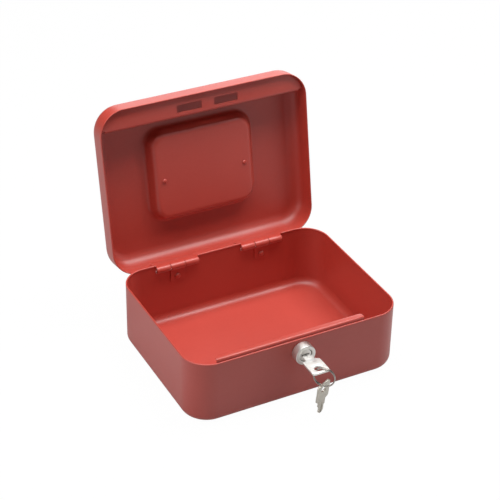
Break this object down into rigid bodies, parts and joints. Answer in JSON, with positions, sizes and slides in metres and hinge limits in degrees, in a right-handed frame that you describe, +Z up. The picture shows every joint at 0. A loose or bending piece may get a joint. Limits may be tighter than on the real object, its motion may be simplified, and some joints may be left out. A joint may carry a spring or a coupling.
{
  "type": "cash box",
  "caption": "Rounded painted steel cash box with a tilting lid, recessed folding handle, front key lock and a key in the lock with a spare on a ring.",
  "frame": {"origin": "centre of the base footprint on its underside", "axes": "+X to the right seen from the lock side, -Y towards the lock, +Z up"},
  "size_m": [0.2, 0.2468, 0.2052],
  "materials": {
    "red_paint": "semi-gloss baked enamel",
    "lock_chrome": "bright plated",
    "key_nickel": "nickel plated, worn",
    "plain_steel": "zinc plated",
    "lock_brass": "stamped"
  },
  "bodies": {
    "base": {"base_tray": "red_paint", "front_lip": "red_paint", "hinge_base_leaf_left": "red_paint", "hinge_pin_left": "red_paint", "hinge_rivet_left": "red_paint", "hinge_base_leaf_right": "red_paint", "hinge_pin_right": "red_paint", "hinge_rivet_right": "red_paint", "lock_housing": "lock_chrome", "lock_spring_clip": "plain_steel"},
    "lock_turning": {"lock_plug": "lock_chrome", "lock_hook_cam": "plain_steel", "cam_washer": "plain_steel", "cam_screw": "plain_steel", "lock_wafer_1": "lock_brass", "wafer_spring_1": "plain_steel", "lock_wafer_2": "lock_brass", "wafer_spring_2": "plain_steel", "lock_wafer_3": "lock_brass", "wafer_spring_3": "plain_steel"},
    "key": {"key": "key_nickel"},
    "key_ring": {"key_ring": "plain_steel"},
    "spare_key": {"spare_key": "key_nickel"},
    "lid": {"lid_shell": "red_paint", "lid_strike_plate": "red_paint", "hinge_lid_leaf_left": "red_paint", "hinge_lid_leaf_right": "red_paint", "handle_bracket_left": "lock_chrome", "handle_rivet_left": "red_paint", "handle_bracket_right": "lock_chrome", "handle_rivet_right": "red_paint"},
    "handle": {"handle_bail": "lock_chrome"}
  },
  "joints": [
    {"name": "lid_hinge", "type": "hinge", "parent": "base", "child": "lid", "pos_m": [0, 0.07565, 0.0558], "axis": [1, 0, 0], "range_deg": [0, 100]},
    {"name": "handle_fold", "type": "hinge", "parent": "lid", "child": "handle", "pos_m": [0, 0.11187, 0.12471], "axis": [1, 0, 0], "range_deg": [0, 90]},
    {"name": "lock_turn", "type": "hinge", "parent": "base", "child": "lock_turning", "pos_m": [0, -0.077, 0.049], "axis": [0, 1, 0], "range_deg": [0, 90]},
    {"name": "key_slide", "type": "slide", "parent": "lock_turning", "child": "key", "axis": [0, -1, 0], "range_m": [0, 0.024]},
    {"name": "ring_swing", "type": "hinge", "parent": "key", "child": "key_ring", "pos_m": [0, -0.1055, 0.049], "axis": [0, 1, 0], "range_deg": [-90, 0]},
    {"name": "spare_key_swing", "type": "hinge", "parent": "key_ring", "child": "spare_key", "pos_m": [0.00382, -0.10932, 0.0335], "axis": [0.7071, -0.7071, 0], "range_deg": [-25, 25]}
  ],
  "couplings": [
    {"joint": "ring_swing", "follows": "lock_turn", "ratio": -1}
  ]
}
